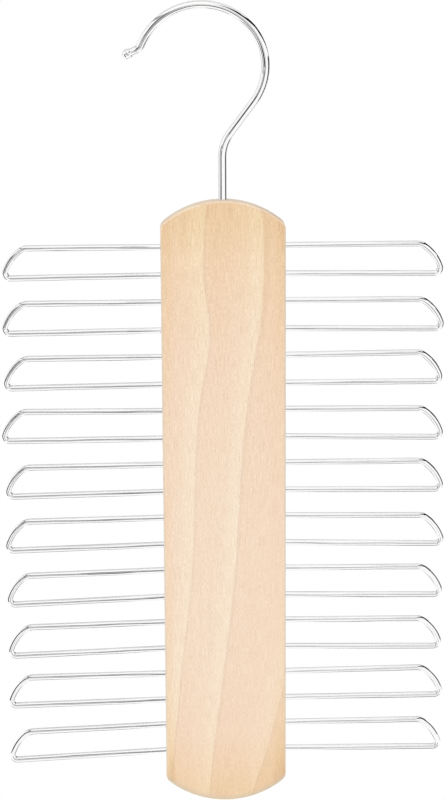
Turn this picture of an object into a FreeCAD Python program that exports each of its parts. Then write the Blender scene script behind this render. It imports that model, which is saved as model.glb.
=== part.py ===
import FreeCAD, Part
import math
import os

# Tie hanger: a wooden board under a wire hook, with ten bent wire loops down each side.
# Millimetres and degrees. The origin is where the hook sits on its rod. +Z is up, +X is to the
# right of someone facing the hanger, and +Y is to the back.

# Hook, one wire bent from its shank in the board up to the ball on its tip
hook_wire = 3.6
hook_crown_inner_radius = 26.8   # over the closet rod, from the curl to the back
hook_back_inner_radius = 23.6    # tighter round down the back
hook_back_angle = 44.0           # where the back takes over from the crown, up from +X
hook_end_angle = 156.5           # where the crown ends at the curl, up from +X
hook_slope_run = 17.2            # straight slope under the back
hook_slope_angle = 37.0          # lean of that slope from upright
hook_knee_inner_radius = 15.5    # bend from the slope to the shank
hook_shank_rise = 18.5           # straight shank that shows above the board
hook_shank_depth = 26.0          # shank inside the board
hook_curl_inner_radius = 2.4     # outward curl at the tip
hook_curl_angle = 42.0
hook_tip_run = 3.9               # from the curl to the middle of the ball
hook_ball_lip = 0.55             # how far the ball stands proud of the wire
hook_bore_clearance = 0.05       # running fit, all round the shank
hook_bore_end_gap = 1.0
hook_bore_mouth = 0.4            # width of the broken edge round the bore

# Board
board_width = 55.0
board_thickness = 12.0
board_end_rise = 10.6            # arch of each end above the corners of the sides
board_shoulder_radius = 4.5      # corner between an end arch and a side
board_edge_radius = 1.5          # round-over along every edge
board_top_margin = 7.65          # from the upper shoulders to the first leg of a loop
board_bottom_margin = 10.45      # from the last leg to the lower shoulders

# Loops, each one wire with an upper leg, a bowed end that slants out and a longer lower leg
loop_wire = 2.8
loop_leg_spacing = 12.6          # between the two legs of a loop where they leave the board
loop_row_gap = 12.0              # from the lower leg of one loop to the upper leg of the next
loop_reach = 71.0                # from the board's side to the end of the loop
loop_splay_angle = 0.56          # opening between the two legs
loop_upper_angle = 36.0          # slope of the bowed end at its top
loop_lower_angle = 70.0          # and at its foot
loop_upper_inner_radius = 5.0
loop_lower_inner_radius = 1.0
loop_seat_depth = 14.0           # leg inside the board
loop_seat_clearance = 0.05       # all round the leg
loop_seat_end_gap = 0.5
left_row_drop = 0.4              # the left loops sit this much lower than the right ones

# Loops are bent and set by hand. From the top down, each has its own reach, as a share of
# loop_reach, and its own droop, the angle of its tip below level.
left_reach_shares = (0.985, 0.995, 0.995, 1.015, 1.0, 1.01, 1.01, 1.01, 1.015, 1.02)
right_reach_shares = (0.985, 0.995, 0.99, 1.0, 1.005, 1.015, 1.01, 1.01, 1.02, 1.015)
left_droop_angles = (0.3, 0.4, 0.5, 0.0, 0.9, 1.3, 2.0, 1.8, 1.2, 2.6)
right_droop_angles = (0.2, 0.4, -0.2, 0.6, 0.2, 0.9, 0.5, 0.5, -0.5, 0.0)

cut_overrun = 3.0                # how far a cutter runs past the face that it cuts

# Line of the hook, from its seat on the rod down to the top of the board
crown_radius = hook_crown_inner_radius + hook_wire / 2
back_radius = hook_back_inner_radius + hook_wire / 2
knee_radius = hook_knee_inner_radius + hook_wire / 2
back_start = math.radians(hook_back_angle)
slope = math.radians(hook_slope_angle)
back_x = (crown_radius - back_radius) * math.cos(back_start)
back_z = (crown_radius - back_radius) * math.sin(back_start) - hook_crown_inner_radius
knee_setback = knee_radius * math.tan(slope / 2)
slope_length = hook_slope_run + knee_setback
board_axis = back_x + back_radius * math.cos(slope) - slope_length * math.sin(slope)
slope_top = back_z - back_radius * math.sin(slope)
board_top = slope_top - slope_length * math.cos(slope) - knee_setback - hook_shank_rise

# Ends of the board, and the rows of loops between its shoulders
half_width = board_width / 2
end_radius = (half_width ** 2 + board_end_rise ** 2) / (2 * board_end_rise)
shoulder_out = half_width - board_shoulder_radius
shoulder_up = math.sqrt((end_radius - board_shoulder_radius) ** 2 - shoulder_out ** 2)
shoulder_depth = end_radius - shoulder_up
loop_pitch = loop_leg_spacing + loop_row_gap
loop_rows = len(right_droop_angles)
first_loop = board_top - shoulder_depth - board_top_margin - loop_leg_spacing / 2
last_leg = first_loop - (loop_rows - 1) * loop_pitch - loop_leg_spacing / 2
board_bottom = last_leg - board_bottom_margin - shoulder_depth


def point(x, z, y=0):
    return FreeCAD.Vector(x, y, z)


def direction(angle):
    turn = math.radians(angle)
    return point(math.cos(turn), math.sin(turn))


# The line of a bent wire in the X-Z plane. Each move is a straight run of the given length when
# its turn is zero, and otherwise a bend of the given radius, with a turn to the left positive.
def bent_line(start, heading, moves):
    edges = []
    for size, turn in moves:
        if turn == 0:
            end = start + direction(heading) * size
            edges.append(Part.LineSegment(start, end).toShape())
        else:
            side = math.copysign(90, turn)
            centre = start + direction(heading + side) * size
            middle = centre + direction(heading - side + turn / 2) * size
            end = centre + direction(heading - side + turn) * size
            edges.append(Part.Arc(start, middle, end).toShape())
            heading += turn
        start = end
    return edges


def round_wire(edges, diameter):
    first = edges[0]
    start = first.valueAt(first.FirstParameter)
    along = first.tangentAt(first.FirstParameter)
    section = Part.Wire(Part.Circle(start, along, diameter / 2).toShape())
    return Part.Wire(edges).makePipeShell([section], True, False)


# Hook: up the shank, over the slope, round the rod and out to the ball
def make_hook():
    curl_radius = hook_curl_inner_radius + hook_wire / 2
    line = bent_line(point(board_axis, board_top - hook_shank_depth), 90, [
        (hook_shank_depth + hook_shank_rise, 0),
        (knee_radius, -hook_slope_angle),
        (hook_slope_run, 0),
        (back_radius, hook_slope_angle + hook_back_angle),
        (crown_radius, hook_end_angle - hook_back_angle),
        (curl_radius, -hook_curl_angle),
        (hook_tip_run, 0),
    ])
    tip = line[-1].valueAt(line[-1].LastParameter)
    ball = Part.makeSphere(hook_wire / 2 + hook_ball_lip, tip)
    return round_wire(line, hook_wire).fuse(ball).removeSplitter()


# A loop on the right side of the board, with the two holes that its legs are pressed into.
# Its sizes are worked out along its own axis, which leaves the board midway between its legs.
def make_loop(middle, reach, droop):
    half_splay = loop_splay_angle / 2
    splay = math.radians(half_splay)
    upper = math.radians(loop_upper_angle)
    lower = math.radians(loop_lower_angle)
    upper_radius = loop_upper_inner_radius + loop_wire / 2
    lower_radius = loop_lower_inner_radius + loop_wire / 2
    half_spacing = loop_leg_spacing / 2

    # Middle of the lower bend and the foot of the bow on it, out along the axis and up from it
    bend_out = reach - loop_wire / 2 - lower_radius
    bend_up = lower_radius / math.cos(splay) - half_spacing - bend_out * math.tan(splay)
    foot_out = bend_out + lower_radius * math.sin(lower)
    foot_up = bend_up + lower_radius * math.cos(lower)

    # Radius of the bow that closes the end between that foot and the upper bend
    bow_height = half_spacing - foot_up + math.tan(splay) * (foot_out - upper_radius * math.sin(upper))
    bow_height -= upper_radius * (1 / math.cos(splay) - math.cos(upper))
    bow_out_share = math.sin(lower) - math.sin(upper)
    bow_up_share = math.cos(upper) - math.cos(lower)
    bow_radius = bow_height / (bow_up_share + math.tan(splay) * bow_out_share)

    upper_out = foot_out - bow_radius * bow_out_share - upper_radius * (math.sin(upper) + math.sin(splay))
    lower_out = bend_out - lower_radius * math.sin(splay)

    across = direction(90 - droop)
    side = point(board_axis + half_width, middle)
    upper_entry = side + across * half_spacing
    lower_entry = side - across * half_spacing
    upper_heading = half_splay - droop
    lower_heading = -half_splay - droop

    start = upper_entry - direction(upper_heading) * loop_seat_depth
    line = bent_line(start, upper_heading, [
        (loop_seat_depth + upper_out / math.cos(splay), 0),
        (upper_radius, -loop_upper_angle - half_splay),
        (bow_radius, loop_upper_angle - loop_lower_angle),
        (lower_radius, loop_lower_angle - half_splay - 180),
        (lower_out / math.cos(splay) + loop_seat_depth, 0),
    ])
    seats = [
        seat_cutter(upper_entry, upper_heading),
        seat_cutter(lower_entry, lower_heading),
    ]
    return round_wire(line, loop_wire), seats


def seat_cutter(entry, heading):
    outward = direction(heading)
    depth = loop_seat_depth + loop_seat_end_gap
    radius = loop_wire / 2 + loop_seat_clearance
    return Part.makeCylinder(radius, depth + cut_overrun, entry - outward * depth, outward)


def to_left_side(shape):
    return shape.mirror(point(board_axis, 0), FreeCAD.Vector(1, 0, 0))


# Both rows of loops, as named nodes, and the holes for all their legs
def make_loops():
    loops = {}
    seats = []
    for row in range(loop_rows):
        middle = first_loop - row * loop_pitch
        name = f"loop_{row + 1:02d}"
        left_reach = loop_reach * left_reach_shares[row]
        left, left_seats = make_loop(middle - left_row_drop, left_reach, left_droop_angles[row])
        loops["left_" + name] = to_left_side(left)
        seats += [to_left_side(seat) for seat in left_seats]
        right_reach = loop_reach * right_reach_shares[row]
        right, right_seats = make_loop(middle, right_reach, right_droop_angles[row])
        loops["right_" + name] = right
        seats += right_seats
    return loops, seats


# Outline of one end of the board in its front face: shoulder, arch and shoulder. The crown is
# the end's furthest point, and out is 1 at the top of the board and -1 at the bottom.
def end_arcs(crown, out):
    front = -board_thickness / 2
    arch_centre = crown - out * end_radius
    lean = math.atan2(shoulder_out, shoulder_up)
    half_lean = (lean + math.pi / 2) / 2

    def shoulder_point(side, angle):
        x = shoulder_out + board_shoulder_radius * math.sin(angle)
        z = shoulder_up + board_shoulder_radius * math.cos(angle)
        return point(board_axis + side * x, arch_centre + out * z, front)

    arcs = [Part.Arc(shoulder_point(-1, lean), point(board_axis, crown, front), shoulder_point(1, lean))]
    for side in (-1, 1):
        corner = [shoulder_point(side, angle) for angle in (lean, half_lean, math.pi / 2)]
        arcs.append(Part.Arc(*corner))
    return [arc.toShape() for arc in arcs]


def make_board(loop_seats):
    front = -board_thickness / 2
    edges = end_arcs(board_top, 1) + end_arcs(board_bottom, -1)
    for side in (-1, 1):
        x = board_axis + side * half_width
        upper = point(x, board_top - shoulder_depth, front)
        lower = point(x, board_bottom + shoulder_depth, front)
        edges.append(Part.LineSegment(upper, lower).toShape())
    outline = Part.Face(Part.Wire(Part.sortEdges(edges)[0]))
    blank = outline.extrude(point(0, 0, board_thickness))
    rims = [edge for edge in blank.Edges if edge.BoundBox.YLength < board_edge_radius]
    board = blank.makeFillet(board_edge_radius, rims)

    # Bore for the shank of the hook, with its edge broken where it opens in the top end
    bore_radius = hook_wire / 2 + hook_bore_clearance
    bore_depth = hook_shank_depth + hook_bore_end_gap
    floor = point(board_axis, board_top - bore_depth)
    bore = Part.makeCylinder(bore_radius, bore_depth + cut_overrun, floor)
    mouth_depth = hook_bore_mouth + bore_radius
    mouth = Part.makeCone(0, mouth_depth + cut_overrun, mouth_depth + cut_overrun,
                          point(board_axis, board_top - mouth_depth))
    return board.cut([bore, mouth] + loop_seats)


loops, loop_seats = make_loops()
nodes = {"board": make_board(loop_seats), "hook": make_hook(), **loops}

os.makedirs("parts", exist_ok=True)
for name, shape in nodes.items():
    shape.exportStep(f"parts/{name}.step")
    print(name, "valid" if shape.isValid() else "NOT VALID", len(shape.Solids), round(shape.Volume, 1))
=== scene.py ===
import math
import bpy
from mathutils import Matrix, Quaternion, Vector


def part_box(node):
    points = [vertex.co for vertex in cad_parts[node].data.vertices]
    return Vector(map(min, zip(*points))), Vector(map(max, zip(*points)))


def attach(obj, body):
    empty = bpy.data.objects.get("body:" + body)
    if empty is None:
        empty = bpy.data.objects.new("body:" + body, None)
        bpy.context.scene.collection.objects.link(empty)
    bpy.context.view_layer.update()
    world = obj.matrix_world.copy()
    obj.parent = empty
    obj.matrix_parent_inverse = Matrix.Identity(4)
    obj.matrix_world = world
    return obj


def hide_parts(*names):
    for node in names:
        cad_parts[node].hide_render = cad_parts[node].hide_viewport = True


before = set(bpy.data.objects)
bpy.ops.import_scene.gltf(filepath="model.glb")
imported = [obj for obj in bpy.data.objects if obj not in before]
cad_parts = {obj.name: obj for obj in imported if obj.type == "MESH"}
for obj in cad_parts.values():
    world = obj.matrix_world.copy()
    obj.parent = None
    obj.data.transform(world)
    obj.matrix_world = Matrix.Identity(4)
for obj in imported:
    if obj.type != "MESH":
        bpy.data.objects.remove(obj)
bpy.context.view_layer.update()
boardLow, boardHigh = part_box("board")
boardAxis = (boardLow.x + boardHigh.x) / 2
boardThickness = boardHigh.y - boardLow.y
boardLength = boardHigh.z - boardLow.z
boardHalf = (boardHigh.x - boardLow.x) / 2
print("frame loaded:", len(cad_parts), "CAD nodes")


# Small tools for working by hand in edit mode

mergeDistance = 0.000001  # corners nearer to each other than this become one


def along(angle):  # a direction in the plane of the hanger, up from +X
    turn = math.radians(angle)
    return Vector((math.cos(turn), 0, math.sin(turn)))


def clearSelection():
    bpy.ops.object.select_all(action="DESELECT")


def editAll():
    bpy.ops.object.mode_set(mode="EDIT")
    bpy.ops.mesh.select_all(action="SELECT")


def leaveEdit():
    bpy.ops.object.mode_set(mode="OBJECT")


def pick(kind, test):  # selects the points, edges or faces whose corners all pass the test
    bpy.ops.mesh.select_mode(type=kind)
    bpy.ops.mesh.select_all(action="DESELECT")
    leaveEdit()
    mesh = bpy.context.object.data
    if kind == "VERT":
        for corner in mesh.vertices:
            corner.select = test(corner.co)
    else:
        for item in mesh.edges if kind == "EDGE" else mesh.polygons:
            item.select = all(test(mesh.vertices[i].co) for i in item.vertices)
    bpy.ops.object.mode_set(mode="EDIT")


# each move is a run, with no turn, or a bend with a radius and a turn to the left
def followBends(spot, heading, moves, stepAngle):
    for size, turn in moves:
        if turn == 0:
            bpy.ops.mesh.extrude_edges_move(TRANSFORM_OT_translate={"value": along(heading) * size})
            spot = spot + along(heading) * size
        else:
            side = math.copysign(90, turn)
            middle = spot + along(heading + side) * size
            steps = math.ceil(abs(turn) / stepAngle)
            bpy.ops.mesh.spin(steps=steps, angle=math.radians(turn), center=middle, axis=(0, 1, 0))
            spot = middle + along(heading - side + turn) * size
            heading += turn
    return spot, heading


def startWire(name, radius, sides, spot, heading):  # an open ring across the wire, ready to extrude
    clearSelection()
    bpy.ops.mesh.primitive_circle_add(vertices=sides, radius=radius, fill_type="NOTHING", location=spot,
                                      rotation=(0, math.radians(90 - heading), 0))
    wire = bpy.context.object
    wire.name = wire.data.name = name
    bpy.ops.object.transform_apply(location=True, rotation=True, scale=True)
    editAll()
    bpy.ops.mesh.edge_face_add()
    bpy.ops.mesh.select_mode(type="EDGE")
    bpy.ops.mesh.select_all(action="SELECT")
    return wire


def faceOutwards():
    bpy.ops.mesh.select_all(action="SELECT")
    bpy.ops.mesh.remove_doubles(threshold=mergeDistance)
    bpy.ops.mesh.normals_make_consistent(inside=False)
    leaveEdit()


def copyPiece(piece, name):  # a copy with its own mesh, selected and active
    clearSelection()
    piece.select_set(True)
    bpy.context.view_layer.objects.active = piece
    bpy.ops.object.duplicate(linked=False)
    twin = bpy.context.object
    twin.name = twin.data.name = name
    return twin


# Hook: one wire, bent from the shank in the board to the ball on its tip

hookSet = {
    "wire": 0.0036,
    "sides": 40,
    "stepAngle": 2.5,
    "shankDepth": 0.026,
    "shankRise": 0.0185,
    "kneeRadius": 0.0173,
    "slopeAngle": 37,
    "slopeRun": 0.0172,
    "backRadius": 0.0254,
    "backAngle": 44,
    "crownRadius": 0.0286,
    "endAngle": 156.5,
    "curlRadius": 0.0042,
    "curlAngle": 42,
    "tipRun": 0.0039,
    "ballRadius": 0.00235,
    "neckSoftness": 0.00012,
    "ballRings": 22,
    "smoothAngle": 50,
}


def makeHook():
    s = hookSet
    spot = Vector((boardAxis, 0, boardHigh.z - s["shankDepth"]))
    hook = startWire("hookWire", s["wire"] / 2, s["sides"], spot, 90)
    neckRun = s["tipRun"] - s["ballRadius"]
    spot, heading = followBends(spot, 90, [
        (s["shankDepth"] + s["shankRise"], 0),
        (s["kneeRadius"], -s["slopeAngle"]),
        (s["slopeRun"], 0),
        (s["backRadius"], s["slopeAngle"] + s["backAngle"]),
        (s["crownRadius"], s["endAngle"] - s["backAngle"]),
        (s["curlRadius"], -s["curlAngle"]),
        (neckRun, 0),
    ], s["stepAngle"])

    # the ball is upset from the wire, ring by ring, with a soft neck
    radius = s["wire"] / 2
    reached = -s["ballRadius"]
    for ring in range(1, s["ballRings"]):
        goal = -s["ballRadius"] * math.cos(math.pi * ring / s["ballRings"])
        ball = math.sqrt(s["ballRadius"] ** 2 - goal ** 2)
        wire = s["wire"] / 2 if goal < 0 else 0
        gap = ball - wire
        wanted = (ball + wire + math.sqrt(gap ** 2 + s["neckSoftness"] ** 2)) / 2
        wanted = min(wanted, s["ballRadius"])
        step = along(heading) * (goal - reached)
        bpy.ops.mesh.extrude_edges_move(TRANSFORM_OT_translate={"value": step})
        spot = spot + step
        grow = wanted / radius
        bpy.ops.transform.resize(value=(grow, grow, grow), center_override=spot)
        radius, reached = wanted, goal
    bpy.ops.mesh.edge_face_add()
    faceOutwards()
    bpy.ops.object.shade_smooth_by_angle(angle=math.radians(s["smoothAngle"]))
    return hook


hookWire = makeHook()
print("hook bent:", len(hookWire.data.polygons), "faces")


# Loops: one wire each, modelled once for the right side and copied down both edges of the board

loopSet = {
    "wire": 0.0028,
    "sides": 32,
    "stepAngle": 4,
    "seatDepth": 0.014,
    "spacing": 0.0126,
    "splay": 0.28,           # half of the opening between the legs, in degrees
    "upperAngle": 36,
    "lowerAngle": 70,
    "upperRadius": 0.0064,
    "lowerRadius": 0.0024,
    "reach": 0.071,
    "straightRun": 0.054,    # the legs are straight this far from the board
    "firstRow": 0.026618,    # from the top of the board to the middle of the first loop
    "pitch": 0.0246,
    "leftDrop": 0.0004,
    "smoothAngle": 50,
    "droops": {
        "left": (0.3, 0.4, 0.5, 0.0, 0.9, 1.3, 2.0, 1.8, 1.2, 2.6),
        "right": (0.2, 0.4, -0.2, 0.6, 0.2, 0.9, 0.5, 0.5, -0.5, 0.0),
    },
}


def rowHeight(side, row):
    drop = loopSet["leftDrop"] if side == "left" else 0
    return boardHigh.z - loopSet["firstRow"] - row * loopSet["pitch"] - drop


def makeLoop():  # level, at the first row, leaving the board's right edge midway between its legs
    s = loopSet
    splay, upper, lower = (math.radians(s[key]) for key in ("splay", "upperAngle", "lowerAngle"))
    half = s["spacing"] / 2
    bendOut = s["reach"] - s["wire"] / 2 - s["lowerRadius"]
    bendUp = s["lowerRadius"] / math.cos(splay) - half - bendOut * math.tan(splay)
    footOut = bendOut + s["lowerRadius"] * math.sin(lower)
    footUp = bendUp + s["lowerRadius"] * math.cos(lower)
    bowHeight = half - footUp + math.tan(splay) * (footOut - s["upperRadius"] * math.sin(upper))
    bowHeight -= s["upperRadius"] * (1 / math.cos(splay) - math.cos(upper))
    bowOut = math.sin(lower) - math.sin(upper)
    bowUp = math.cos(upper) - math.cos(lower)
    bowRadius = bowHeight / (bowUp + math.tan(splay) * bowOut)
    upperOut = footOut - bowRadius * bowOut - s["upperRadius"] * (math.sin(upper) + math.sin(splay))
    lowerOut = bendOut - s["lowerRadius"] * math.sin(splay)

    entry = Vector((boardAxis + boardHalf, 0, rowHeight("right", 0) + half))
    spot = entry - along(s["splay"]) * s["seatDepth"]
    loop = startWire("loopPattern", s["wire"] / 2, s["sides"], spot, s["splay"])
    followBends(spot, s["splay"], [
        (s["seatDepth"] + upperOut / math.cos(splay), 0),
        (s["upperRadius"], -s["upperAngle"] - s["splay"]),
        (bowRadius, s["upperAngle"] - s["lowerAngle"]),
        (s["lowerRadius"], s["lowerAngle"] - s["splay"] - 180),
        (lowerOut / math.cos(splay) + s["seatDepth"], 0),
    ], s["stepAngle"])
    bpy.ops.mesh.edge_face_add()
    faceOutwards()
    bpy.ops.object.shade_smooth_by_angle(angle=math.radians(s["smoothAngle"]))
    return loop


def setLoop(pattern, side, row):  # copies the pattern, draws it out to its reach and lets it droop
    name = f"{side}_loop_{row + 1:02d}"
    low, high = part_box(name)
    reach = high.x - boardHigh.x if side == "right" else boardLow.x - low.x
    droop = math.radians(loopSet["droops"][side][row])
    reach = reach / math.cos(droop) + (loopSet["spacing"] / 2 - loopSet["lowerRadius"]) * math.tan(droop)
    loop = copyPiece(pattern, f"{side}Loop{row + 1:02d}")
    first = Vector((boardAxis + boardHalf, 0, rowHeight("right", 0)))
    bpy.ops.object.mode_set(mode="EDIT")
    pick("VERT", lambda spot: spot.x > first.x + loopSet["reach"] / 2)
    bpy.ops.transform.translate(value=(reach - loopSet["reach"], 0, 0))
    bpy.ops.mesh.select_all(action="SELECT")
    bpy.ops.transform.rotate(value=-droop, orient_axis="Y", orient_type="GLOBAL", center_override=first)
    bpy.ops.transform.translate(value=(0, 0, rowHeight(side, row) - first.z))
    if side == "left":
        bpy.ops.transform.resize(value=(-1, 1, 1), center_override=(boardAxis, 0, 0))
    faceOutwards()
    return loop, name


loopPattern = makeLoop()
loops = {}
for side in ("left", "right"):
    for row in range(len(loopSet["droops"][side])):
        loop, node = setLoop(loopPattern, side, row)
        loops[node] = loop
bpy.data.objects.remove(loopPattern)
print("loops set:", len(loops))


# Board: its outline is drawn round by an edge as deep as the board, then its rims are rounded

boardSet = {
    "endRise": 0.0106,
    "shoulderRadius": 0.0045,
    "edgeRadius": 0.0015,
    "edgeSteps": 8,
    "stepAngle": 2,
    "seatClearance": 0.00008,
    "seatRoom": 0.0005,        # depth of a hole past the end of its wire
    "boreRoom": 0.001,
    "seatMouth": 0.00022,      # broken edge round each hole
    "boreMouth": 0.0004,
    "holeSides": 32,
    "smoothAngle": 35,
}
endRadius = (boardHalf ** 2 + boardSet["endRise"] ** 2) / (2 * boardSet["endRise"])


def makeBoard():
    s = boardSet
    shoulderOut = boardHalf - s["shoulderRadius"]
    shoulderUp = math.sqrt((endRadius - s["shoulderRadius"]) ** 2 - shoulderOut ** 2)
    shoulderDepth = endRadius - shoulderUp
    lean = math.degrees(math.atan2(shoulderOut, shoulderUp))
    side = boardLength - 2 * shoulderDepth
    corner = Vector((boardLow.x, 0, boardLow.z + shoulderDepth))

    clearSelection()
    middle = corner + Vector((boardThickness / 2, 0, 0))
    bpy.ops.mesh.primitive_plane_add(size=boardThickness, location=middle)
    board = bpy.context.object
    board.name = board.data.name = "boardWood"
    bpy.ops.object.transform_apply(location=True, rotation=True, scale=True)
    bpy.ops.object.mode_set(mode="EDIT")
    pick("VERT", lambda spot: spot.x > middle.x)
    bpy.ops.mesh.delete(type="VERT")
    bpy.ops.mesh.select_mode(type="EDGE")
    bpy.ops.mesh.select_all(action="SELECT")
    shoulder = (s["shoulderRadius"], lean - 90)
    halfway = [(side, 0), shoulder, (endRadius, -2 * lean), shoulder]
    followBends(corner, 90, halfway + halfway, s["stepAngle"])
    bpy.ops.mesh.select_all(action="SELECT")
    bpy.ops.mesh.remove_doubles(threshold=mergeDistance)
    for face in (boardLow.y, boardHigh.y):
        pick("EDGE", lambda spot: abs(spot.y - face) < s["edgeRadius"])
        bpy.ops.mesh.edge_face_add()
    bpy.ops.mesh.select_all(action="SELECT")
    bpy.ops.mesh.normals_make_consistent(inside=False)
    pick("EDGE", lambda spot: spot.y < 0)
    front = [edge.index for edge in board.data.edges if edge.select]
    pick("EDGE", lambda spot: spot.y > 0)
    leaveEdit()
    for index in front:
        board.data.edges[index].select = True
    bpy.ops.object.mode_set(mode="EDIT")
    bpy.ops.mesh.bevel(offset_type="OFFSET", offset=s["edgeRadius"], segments=s["edgeSteps"],
                       profile=0.5, affect="EDGES", clamp_overlap=False)
    faceOutwards()
    return board


def makeDrill(name, radius, depth, mouth, spot, heading):  # a round cutter that flares at the face it enters
    clearSelection()
    middle = spot - along(heading) * (depth + mouth) / 2
    bpy.ops.mesh.primitive_cylinder_add(vertices=boardSet["holeSides"], radius=radius, depth=depth - mouth,
                                        location=middle, rotation=(0, math.radians(90 - heading), 0))
    drill = bpy.context.object
    drill.name = name
    bpy.ops.object.transform_apply(location=True, rotation=True, scale=True)
    bpy.ops.object.mode_set(mode="EDIT")
    # its end face lies one mouth deep, and widens at 45 degrees until it is one mouth outside
    rim = spot - along(heading) * mouth * 1.5
    pick("FACE", lambda corner: (corner - rim).dot(along(heading)) > 0)
    bpy.ops.mesh.extrude_region_move(TRANSFORM_OT_translate={"value": along(heading) * 2 * mouth})
    flare = (radius + 2 * mouth) / radius
    bpy.ops.transform.resize(value=(flare, flare, flare), center_override=spot + along(heading) * mouth)
    bpy.ops.mesh.extrude_region_move(TRANSFORM_OT_translate={"value": along(heading) * radius})
    faceOutwards()
    return drill


def drillBoard(board):  # a hole for each leg of each loop, and the bore for the hook
    s = boardSet
    top = Vector((boardAxis, 0, boardHigh.z))
    holes = [makeDrill("boreDrill", hookSet["wire"] / 2 + s["seatClearance"],
                       hookSet["shankDepth"] + s["boreRoom"], s["boreMouth"], top, 90)]
    for side in ("left", "right"):
        for row, droop in enumerate(loopSet["droops"][side]):
            for leg in (1, -1):
                away = along(90 - droop) * leg * loopSet["spacing"] / 2
                spot = Vector((boardHalf, 0, rowHeight(side, row))) + away
                heading = leg * loopSet["splay"] - droop
                if side == "left":
                    spot.x, heading = -spot.x, 180 - heading
                spot.x += boardAxis
                holes.append(makeDrill("seatDrill", loopSet["wire"] / 2 + s["seatClearance"],
                                       loopSet["seatDepth"] + s["seatRoom"], s["seatMouth"],
                                       spot, heading))
    clearSelection()
    for hole in holes:
        hole.select_set(True)
    bpy.context.view_layer.objects.active = holes[0]
    bpy.ops.object.join()
    drills = bpy.context.object
    clearSelection()
    board.select_set(True)
    bpy.context.view_layer.objects.active = board
    cut = board.modifiers.new("holes", "BOOLEAN")
    cut.operation = "DIFFERENCE"
    cut.solver = "EXACT"
    cut.object = drills
    bpy.ops.object.modifier_apply(modifier=cut.name)
    bpy.data.objects.remove(drills)
    bpy.ops.object.shade_smooth_by_angle(angle=math.radians(s["smoothAngle"]))
    even = board.modifiers.new("flat faces", "WEIGHTED_NORMAL")
    even.keep_sharp = True
    bpy.ops.object.modifier_apply(modifier=even.name)


boardWood = makeBoard()
drillBoard(boardWood)
print("board drilled:", len(boardWood.data.polygons), "faces")


# Finishes

def addNode(tree, kind, inputs=None, **settings):  # an input is a value or another node's output
    node = tree.nodes.new(kind)
    for key, value in settings.items():
        setattr(node, key, value)
    for key, value in (inputs or {}).items():
        if isinstance(value, bpy.types.NodeSocket):
            tree.links.new(value, node.inputs[key])
        else:
            node.inputs[key].default_value = value
    return node


def sums(tree, operation, first, second=0.0, third=0.0):
    return addNode(tree, "ShaderNodeMath", {0: first, 1: second, 2: third}, operation=operation).outputs[0]


def spread(tree, value, low, high, toLow=0.0, toHigh=1.0, clamp=False):
    return addNode(tree, "ShaderNodeMapRange", {0: value, 1: low, 2: high, 3: toLow, 4: toHigh},
                   clamp=clamp).outputs[0]


def sway(tree, value, size):  # turns 0 to 1 into as much below nothing as above it
    return spread(tree, value, 0.0, 1.0, -size, size)


def handCurve(tree, value, points):  # a smooth line drawn through a few points
    node = addNode(tree, "ShaderNodeFloatCurve", {"Value": value})
    line = node.mapping.curves[0]
    line.points[0].location, line.points[1].location = points[0], points[-1]
    for spot in points[1:-1]:
        line.points.new(*spot)
    node.mapping.update()
    return node.outputs[0]


def ramp(tree, value, stops):
    node = addNode(tree, "ShaderNodeValToRGB", {0: value})
    marks = node.color_ramp.elements
    while len(marks) < len(stops):
        marks.new(1.0)
    for mark, (place, colour) in zip(marks, stops):
        mark.position = place
        mark.color = (*colour, 1) if isinstance(colour, tuple) else (colour, colour, colour, 1)
    return node.outputs[0]


def drawnNoise(tree, place, stretch, detail, scale=1.0, roughness=0.5):  # noise drawn out along the axes
    drawn = addNode(tree, "ShaderNodeMapping", {"Vector": place, "Scale": stretch}).outputs[0]
    return addNode(tree, "ShaderNodeTexNoise", {"Vector": drawn, "Scale": scale, "Detail": detail,
                                                "Roughness": roughness}).outputs[0]


def scaled(tree, colour, amount):
    return addNode(tree, "ShaderNodeVectorMath", {0: colour, "Scale": amount}, operation="SCALE").outputs[0]


def shaded(tree, colour, shade, amount):  # changes red, green and blue each by its own share
    change = scaled(tree, shade, amount)
    return addNode(tree, "ShaderNodeVectorMath", {0: colour, 1: change, 2: colour},
                   operation="MULTIPLY_ADD").outputs[0]


def tinted(tree, colour, share, tint):
    return addNode(tree, "ShaderNodeMix", {0: share, 6: colour, 7: (*tint, 1)}, data_type="RGBA").outputs[2]


def screenColour(red, green, blue):  # from the 0 to 255 of a colour picker
    def plain(value):
        value /= 255
        return value / 12.92 if value <= 0.04045 else ((value + 0.055) / 1.055) ** 2.4
    return plain(red), plain(green), plain(blue)


def startFinish(name):
    finish = bpy.data.materials.new(name)
    finish.use_nodes = True
    tree = finish.node_tree
    return finish, tree, tree.nodes["Principled BSDF"]


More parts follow.
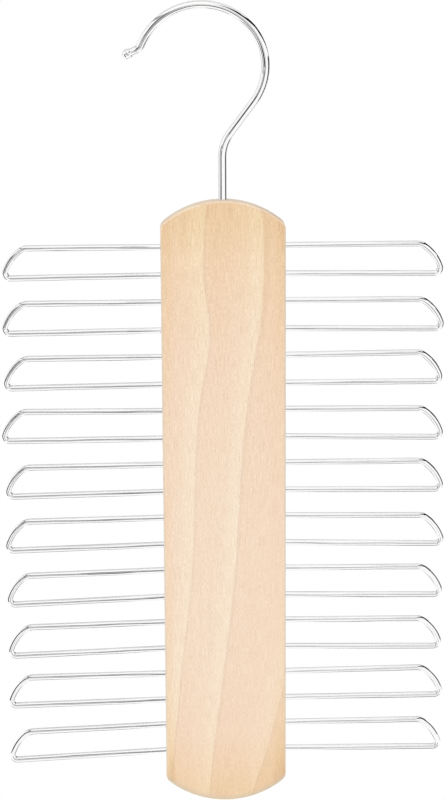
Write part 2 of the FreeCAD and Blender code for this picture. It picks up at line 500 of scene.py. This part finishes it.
# places down and across the board run from 0 to 1, from its top and from its left edge
woodSet = {
    "tones": [  # from the deepest to the palest
        (0.0, screenColour(224, 184, 138)),
        (0.2, screenColour(237, 202, 160)),
        (0.4, screenColour(242, 210, 175)),
        (0.6, screenColour(244, 215, 186)),
        (0.8, screenColour(245, 218, 192)),
        (1.0, screenColour(247, 223, 199)),
    ],
    "toneDown": [(0, 0.2), (0.03, 0.25), (0.1, 0.41), (0.2, 0.56), (0.32, 0.72), (0.45, 0.81), (0.6, 0.84),
                 (0.76, 0.82), (0.87, 0.66), (0.92, 0.5), (0.96, 0.36), (1, 0.26)],
    "edgeTone": [(0, 0.14), (0.035, 0.14), (0.1, 0.02), (0.5, 0), (0.84, 0.03), (0.93, 0.14), (1, 0.2)],
    "edgeDepth": (0.6, 1.6),        # of the edge tone, at the top and at the bottom
    "streakScale": (420, 420, 14),
    "streakDetail": 2.0,
    "streakTone": 0.13,
    "yearTone": 0.04,

    # growth rings: two lines down the front face, and the share by which the rings beyond the right one
    # are widened, which places a third line
    "leftLine": [(0, 0.365), (0.11, 0.335), (0.21, 0.38), (0.32, 0.305), (0.43, 0.261), (0.54, 0.242),
                 (0.65, 0.205), (0.76, 0.142), (0.89, 0.075), (1, 0.02)],
    "rightLine": [(0, 0.806), (0.16, 0.805), (0.26, 0.737), (0.36, 0.668), (0.475, 0.62), (0.58, 0.588),
                  (0.67, 0.547), (0.77, 0.481), (0.89, 0.408), (1, 0.35)],
    "outerWidening": [(0, 0.34), (0.82, 0.34), (0.87, 0.304), (0.912, 0.26), (0.956, 0.17), (1, 0.05)],
    "outerRing": 1,
    "outerGrowth": 0.7,             # its late growth is fainter
    "nextRing": 2,
    "nextRingTone": 0.12,           # deeper than the others
    "ringDepth": 0.0051,            # from one growth line to the next, into the board
    "wanderScale": (60, 60, 9),
    "wanderDetail": 3.0,
    "wander": 0.05,
    "growth": [(0.0, 0.0), (0.35, 0.06), (0.62, 0.3), (0.86, 0.9), (0.97, 1.0)],  # through one ring
    "growthFade": (0.1, 0.4, 1.0, 0.75),  # between two places down the board, from one strength to another
    "growthShade": (0.04, 0.125, 0.15),   # how far late growth lightens red, green and blue
    "line": [(0.0, 0.5), (0.015, 1.0), (0.03, 1.0), (0.065, 0.0), (0.985, 0.0), (1.0, 0.5)],
    "lineShade": 0.045,

    # fibres and pores, and how far they darken red, green and blue
    "fibreWidth": 0.00023,
    "fibreLength": 0.0075,
    "fibreShare": 0.48,
    "fibreDetail": 3.0,
    "fibreRoughness": 0.6,
    "poreWidth": 0.0002,
    "poreLength": 0.0015,
    "poreShare": 0.4,
    "poreDetail": 1.0,
    "poreCut": [(0.54, 0.0), (0.68, 1.0)],
    "grainDepth": (1.15, 0.8),      # at the top and at the bottom
    "grainShade": (0.9, 1.28, 1.85),

    # rims and end grain: bands that run inwards from the face or the end, over a width in metres; the rims
    # carry painted light: a painted highlight on the top rim, painted shade on the side rims and on the
    # bottom rim
    "topEnd": (0.045, 0.07),        # where the ends give way to the sides, down the board
    "bottomEnd": (0.93, 0.955),
    "topRimWidth": 0.002,
    "topRim": [(0.06, 0.0), (0.2, 1.0), (0.5, 1.0), (0.65, 0.0)],
    "topRimTone": 0.5,
    # painted shade: the rounded side rims are greyed where they turn away from the light
    "sideRimWidth": 0.003,
    "sideRim": [(0.01, 0.0), (0.13, 1.0), (0.55, 1.0), (0.8, 0.0)],
    "sideRimShadeShare": 0.55,
    "sideRimShadeColour": screenColour(228, 216, 199),
    # painted shade on the rounded bottom rim, which faces down, away from the light
    "endRimWidth": 0.0034,
    "endRim": [(0.15, 0.85), (0.95, 0.0)],
    "endRimFrom": [(0.94, 0.0), (0.96, 1.0)],
    "bottomRimShadeColour": screenColour(216, 198, 172),
    "endGrain": [(0.09, 0.0), (0.13, 1.0)],  # by the share of the board's thickness
    "endGrainShare": 0.75,
    "endGrainColour": screenColour(236, 221, 199),

    "roughness": (0.36, 0.5),
    "poreRoughness": 0.1,
    "poreDepth": 0.8,
    "bumpStrength": 0.12,
    "bumpHeight": 0.00006,
}


def inRing(tree, number, wanted):  # 1 in that ring and 0 in the others
    return sums(tree, "COMPARE", number, wanted, 0.5)


def makeWood():
    s = woodSet
    finish, tree, shader = startFinish("paleBoardWood")
    place = addNode(tree, "ShaderNodeTexCoord").outputs["Object"]
    split = addNode(tree, "ShaderNodeSeparateXYZ", {0: place})
    down = spread(tree, split.outputs["Z"], boardHigh.z, boardLow.z)
    across = spread(tree, split.outputs["X"], boardLow.x, boardHigh.x)

    # growth rings, slanting through the thickness
    left = handCurve(tree, down, s["leftLine"])
    right = handCurve(tree, down, s["rightLine"])
    ring = sums(tree, "DIVIDE", sums(tree, "SUBTRACT", across, left), sums(tree, "SUBTRACT", right, left))
    beyond = sums(tree, "MAXIMUM", sums(tree, "SUBTRACT", ring, 1.0), 0.0)
    widen = handCurve(tree, down, s["outerWidening"])
    ring = sums(tree, "SUBTRACT", ring, sums(tree, "MULTIPLY", beyond, widen))
    deep = sums(tree, "DIVIDE", sums(tree, "SUBTRACT", split.outputs["Y"], boardLow.y), s["ringDepth"])
    ring = sums(tree, "ADD", ring, deep)
    wander = drawnNoise(tree, place, s["wanderScale"], s["wanderDetail"])
    ring = sums(tree, "ADD", ring, sway(tree, wander, s["wander"]))
    part = sums(tree, "FRACT", ring)
    number = sums(tree, "FLOOR", ring)
    growth = ramp(tree, part, s["growth"])
    growth = sums(tree, "MULTIPLY", growth, spread(tree, down, *s["growthFade"], clamp=True))
    outer = inRing(tree, number, s["outerRing"])
    fainter = sums(tree, "MULTIPLY_ADD", outer, s["outerGrowth"] - 1.0, 1.0)
    growth = sums(tree, "MULTIPLY", growth, fainter)
    line = ramp(tree, part, s["line"])
    year = addNode(tree, "ShaderNodeTexWhiteNoise", {"W": number}, noise_dimensions="1D").outputs[0]

    # fibres and pores, drawn out along the board
    thin = (1 / s["fibreWidth"], 1 / s["fibreWidth"], 1 / s["fibreLength"])
    fibre = drawnNoise(tree, place, thin, s["fibreDetail"], roughness=s["fibreRoughness"])
    short = (1 / s["poreWidth"], 1 / s["poreWidth"], 1 / s["poreLength"])
    pores = drawnNoise(tree, place, short, s["poreDetail"])
    pore = ramp(tree, pores, s["poreCut"])
    grain = sums(tree, "ADD", sway(tree, fibre, s["fibreShare"] / 2), sway(tree, pores, -s["poreShare"] / 2))
    grain = sums(tree, "MULTIPLY", grain, spread(tree, down, 0.0, 1.0, *s["grainDepth"]))

    # tone of the plank, deeper towards both ends and both edges
    tone = handCurve(tree, down, s["toneDown"])
    edge = handCurve(tree, across, s["edgeTone"])
    edge = sums(tree, "MULTIPLY", edge, spread(tree, down, 0.0, 1.0, *s["edgeDepth"]))
    tone = sums(tree, "SUBTRACT", tone, edge)
    streak = drawnNoise(tree, place, s["streakScale"], s["streakDetail"])
    tone = sums(tree, "ADD", tone, sway(tree, streak, s["streakTone"]))
    tone = sums(tree, "ADD", tone, sway(tree, year, s["yearTone"]))
    after = inRing(tree, number, s["nextRing"])
    tone = sums(tree, "SUBTRACT", tone, sums(tree, "MULTIPLY", after, s["nextRingTone"]))

    # light catches the rounded rim of the top end
    topFrom, topTo = s["topEnd"]
    bottomFrom, bottomTo = s["bottomEnd"]
    inward = sums(tree, "SUBTRACT", boardThickness / 2, sums(tree, "ABSOLUTE", split.outputs["Y"]))
    rim = ramp(tree, sums(tree, "DIVIDE", inward, s["topRimWidth"]), s["topRim"])
    rim = sums(tree, "MULTIPLY", rim, ramp(tree, down, [(topFrom, 1.0), (topTo, 0.0)]))
    tone = sums(tree, "ADD", tone, sums(tree, "MULTIPLY", rim, s["topRimTone"]))

    colour = ramp(tree, tone, s["tones"])
    colour = shaded(tree, colour, s["growthShade"], growth)
    colour = shaded(tree, colour, s["grainShade"], grain)
    colour = scaled(tree, colour, sums(tree, "MULTIPLY_ADD", line, -s["lineShade"], 1.0))

    # painted shade greys the side rims and darkens the bottom rim, where they turn away from the light; the
    # sanded end grain is greyer
    rim = ramp(tree, sums(tree, "DIVIDE", inward, s["sideRimWidth"]), s["sideRim"])
    sides = ramp(tree, down, [(topFrom, 0.0), (topTo, s["sideRimShadeShare"]),
                              (bottomFrom, s["sideRimShadeShare"]), (bottomTo, 0.0)])
    colour = tinted(tree, colour, sums(tree, "MULTIPLY", rim, sides), s["sideRimShadeColour"])
    # painted shade along the bottom rim, by the distance from the arc of the end
    outward = sums(tree, "SUBTRACT", split.outputs["X"], boardAxis)
    upward = sums(tree, "SUBTRACT", split.outputs["Z"], boardLow.z + endRadius)
    outward, upward = (sums(tree, "MULTIPLY", value, value) for value in (outward, upward))
    fromEnd = sums(tree, "SUBTRACT", endRadius, sums(tree, "SQRT", sums(tree, "ADD", outward, upward)))
    rim = ramp(tree, sums(tree, "DIVIDE", fromEnd, s["endRimWidth"]), s["endRim"])
    rim = sums(tree, "MULTIPLY", rim, ramp(tree, down, s["endRimFrom"]))
    colour = tinted(tree, colour, rim, s["bottomRimShadeColour"])
    cut = ramp(tree, sums(tree, "DIVIDE", inward, boardThickness), s["endGrain"])
    ends = ramp(tree, down, [(topFrom, s["endGrainShare"]), (topTo, 0.0),
                             (bottomFrom, 0.0), (bottomTo, s["endGrainShare"])])
    colour = tinted(tree, colour, sums(tree, "MULTIPLY", cut, ends), s["endGrainColour"])
    tree.links.new(colour, shader.inputs["Base Color"])

    rough = spread(tree, fibre, 0.0, 1.0, *s["roughness"])
    rough = sums(tree, "ADD", rough, sums(tree, "MULTIPLY", pore, s["poreRoughness"]))
    tree.links.new(rough, shader.inputs["Roughness"])
    height = sums(tree, "SUBTRACT", fibre, sums(tree, "MULTIPLY", pore, s["poreDepth"]))
    bump = addNode(tree, "ShaderNodeBump", {"Height": height, "Strength": s["bumpStrength"],
                                            "Distance": s["bumpHeight"]}).outputs[0]
    tree.links.new(bump, shader.inputs["Normal"])
    return finish


plateSet = {
    "bright": screenColour(254, 254, 254),
    "dull": screenColour(248, 248, 248),
    "fineScale": 2600.0,
    "fineDetail": 3.0,
    "fineCut": (0.3, 0.7),          # where the fine noise is dull and where it is bright
    "roughness": (0.03, 0.11),
    "waveStretch": (0.11, 1, 1),
    "waveAcross": 0.005,
    "waveDetail": 1.0,
    "waveHeight": 0.0012,
    "waveFade": 0.008,
}


def makePlate(name, straight):  # bright plating over drawn wire; its straight part has slight waves
    s = plateSet
    finish, tree, shader = startFinish(name)
    place = addNode(tree, "ShaderNodeTexCoord").outputs["Object"]
    split = addNode(tree, "ShaderNodeSeparateXYZ", {0: place})
    wave = drawnNoise(tree, place, s["waveStretch"], s["waveDetail"], scale=1 / s["waveAcross"])
    out = sums(tree, "ABSOLUTE", sums(tree, "SUBTRACT", split.outputs["X"], boardAxis))
    calm = spread(tree, out, straight - s["waveFade"], straight, 1.0, 0.0, clamp=True)
    fine = addNode(tree, "ShaderNodeTexNoise", {"Vector": place, "Scale": s["fineScale"],
                                                "Detail": s["fineDetail"]}).outputs[0]
    sheen = ramp(tree, fine, list(zip(s["fineCut"], (s["dull"], s["bright"]))))
    tree.links.new(sheen, shader.inputs["Base Color"])
    tree.links.new(spread(tree, fine, 0.0, 1.0, *s["roughness"]), shader.inputs["Roughness"])
    shader.inputs["Metallic"].default_value = 1.0
    bump = addNode(tree, "ShaderNodeBump", {"Height": wave, "Strength": calm,
                                            "Distance": s["waveHeight"]}).outputs[0]
    tree.links.new(bump, shader.inputs["Normal"])
    return finish


woodFinish = makeWood()
hookFinish = makePlate("hookPlate", 0.0)  # the hook has no waves
loopFinish = makePlate("loopPlate", boardHalf + loopSet["straightRun"])
boardWood.data.materials.append(woodFinish)
hookWire.data.materials.append(hookFinish)
for loop in loops.values():
    loop.data.materials.append(loopFinish)
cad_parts["board"].data.materials[0] = woodFinish
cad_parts["hook"].data.materials[0] = hookFinish
for node in loops:
    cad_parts[node].data.materials[0] = loopFinish
print("finishes made")


# Each piece stands for its CAD node and rides with it

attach(boardWood, "rack")
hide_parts("board")
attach(hookWire, "hook")
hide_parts("hook")
for node, loop in loops.items():
    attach(loop, "rack")
    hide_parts(node)


# Studio: a white room with a pale floor, and cards out of view that draw the lines in the plating

white = (1, 1, 1, 1)
studioSet = {
    "light": 1.0,
    "floorDrop": 1.4,
    "floorRadius": 6.0,
    "floorSides": 96,
    "middle": (0.009, 0, -0.16),
    "shadingCard": "cardRightNear",  # the one card that also takes light from the wood
    # each card hangs between two directions, given as azimuth from the front towards +X and elevation,
    # at a distance, with a width and a brightness
    "cards": {
        "cardFrontHigh": ((-36, 36), (-1, 5), 1.2, 0.28, 0.15),
        "cardFrontBars": ((4, 10), (14, 10), 1.2, 0.33, 0.3),
        "cardFrontLow": ((-11, -18), (13, -17), 1.2, 0.44, 0.4),
        "cardFrontMiddle": ((-4.5, -16), (-0.3, -16), 1.15, 0.46, 0.05),
        "cardFrontRight": ((3.2, -16), (6, -16), 1.15, 0.46, 0.12),
        "cardFrontPale": ((7, -32), (26, -32), 0.364, 0.05, 1.0),
        "cardFrontLeft": ((-34, -3), (-34, 11), 0.58, 0.22, 0.0),
        "cardFrontLeftHigh": ((-40, 13), (-38, 34), 0.58, 0.2, 0.3),
        "cardRightHigh": ((20, 42), (80, 49), 1.2, 0.38, 0.0),
        "cardRightBack": ((78, 43), (160, 4), 1.2, 0.45, 0.0),
        "cardRightNear": ((75, 12), (125, 12), 0.42, 0.17, 0.04),
        "cardRightLow": ((75, -9), (125, -9), 0.42, 0.15, 0.1),
        "cardRightUnder": ((65, -51), (58, -79), 0.43, 0.1, 0.0),
        "cardLeftArc": ((-130, 42), (-45, 47), 1.2, 0.1, 0.2),
        "cardLeftNear": ((-58, -14), (-85, -14), 0.29, 0.25, 0.03),
        "cardLeftUpper": ((-58, 20), (-82, 20), 0.29, 0.11, 0.12),
        "cardLeftUnder": ((-113, -54), (-165, -69), 0.43, 0.14, 0.0),
        "cardTop": ((80, 58), (-125, 52), 1.2, 0.2, 0.35),
        "cardTopBack": ((130, 30), (-130, 30), 1.2, 0.3, 0.35),
        "cardBack": ((150, 3), (-145, 6), 1.2, 0.4, 0.08),
    },
    "hookMiddle": (0, 0, -0.027),
    "hookCards": {  # hung the same way about the middle of the hook's bend
        "cardHookFront": ((-6, -6), (9, -6), 0.08, 0.028, 0.0),
        "cardHookKnee": ((-26, -17), (-16, -17), 0.09, 0.028, 0.02),
        "cardHookSlope": ((92, -38), (116, -38), 0.5, 0.12, 0.4),
    },
}


def glow(name, strength):
    finish = bpy.data.materials.new(name)
    finish.use_nodes = True
    tree = finish.node_tree
    tree.nodes.clear()
    light = addNode(tree, "ShaderNodeEmission", {"Color": white, "Strength": strength}).outputs[0]
    addNode(tree, "ShaderNodeOutputMaterial", {"Surface": light})
    return finish


def lookTowards(azimuth, elevation):
    azimuth, elevation = math.radians(azimuth), math.radians(elevation)
    level = math.cos(elevation)
    return Vector((math.sin(azimuth) * level, -math.cos(azimuth) * level, math.sin(elevation)))


def makeStudio():
    s = studioSet
    world = bpy.data.worlds.new("whiteRoom")
    world.use_nodes = True
    bpy.context.scene.world = world
    sky = world.node_tree.nodes["Background"]
    sky.inputs["Color"].default_value = white
    sky.inputs["Strength"].default_value = s["light"]

    clearSelection()
    bpy.ops.mesh.primitive_circle_add(vertices=s["floorSides"], radius=s["floorRadius"], fill_type="NGON",
                                      location=(boardAxis, 0, boardLow.z - s["floorDrop"]))
    floor = bpy.context.object
    floor.name = "studioFloor"
    floor.data.materials.append(glow("paleFloor", s["light"]))

    for middle, cards in ((s["middle"], s["cards"]), (s["hookMiddle"], s["hookCards"])):
        for name, (start, end, distance, width, brightness) in cards.items():
            start, end = (lookTowards(*angles) * distance for angles in (start, end))
            length = (end - start).length
            lengthwise = (end - start).normalized()
            facing = -(start + end).normalized()
            turn = Matrix((lengthwise, facing.cross(lengthwise), facing)).transposed()
            clearSelection()
            bpy.ops.mesh.primitive_plane_add(size=1, location=Vector(middle) + (start + end) / 2,
                                             rotation=turn.to_euler())
            card = bpy.context.object
            card.name = name
            card.scale = (length, width, 1)
            card.data.materials.append(glow(name, brightness))
            card.visible_camera = card.visible_transmission = card.visible_volume_scatter = False
            card.visible_diffuse = card.visible_shadow = name == s["shadingCard"]


makeStudio()
print("studio lit")


# Camera, where the photograph was taken from

cameraSet = {
    "place": (-0.01535, -0.950, 0.02717),
    "pitch": 11.85,
    "turn": 1.42,
    "roll": -0.339,
    "lens": 97.8,
    "sensor": 36.0,
    "clipStart": 0.01,
}


def makeCamera():
    s = cameraSet
    pitch, turn, roll = (math.radians(s[key]) for key in ("pitch", "turn", "roll"))
    ahead = Vector((math.sin(turn) * math.cos(pitch), math.cos(turn) * math.cos(pitch), -math.sin(pitch)))
    clearSelection()
    bpy.ops.object.camera_add(location=s["place"])
    camera = bpy.context.object
    camera.name = "photoCamera"
    camera.rotation_mode = "QUATERNION"
    camera.rotation_quaternion = ahead.to_track_quat("-Z", "Y") @ Quaternion((0, 0, 1), roll)
    camera.data.lens = s["lens"]
    camera.data.sensor_width = s["sensor"]
    camera.data.clip_start = s["clipStart"]
    bpy.context.scene.camera = camera
    bpy.context.scene.view_settings.view_transform = "Standard"


makeCamera()
print("camera placed")
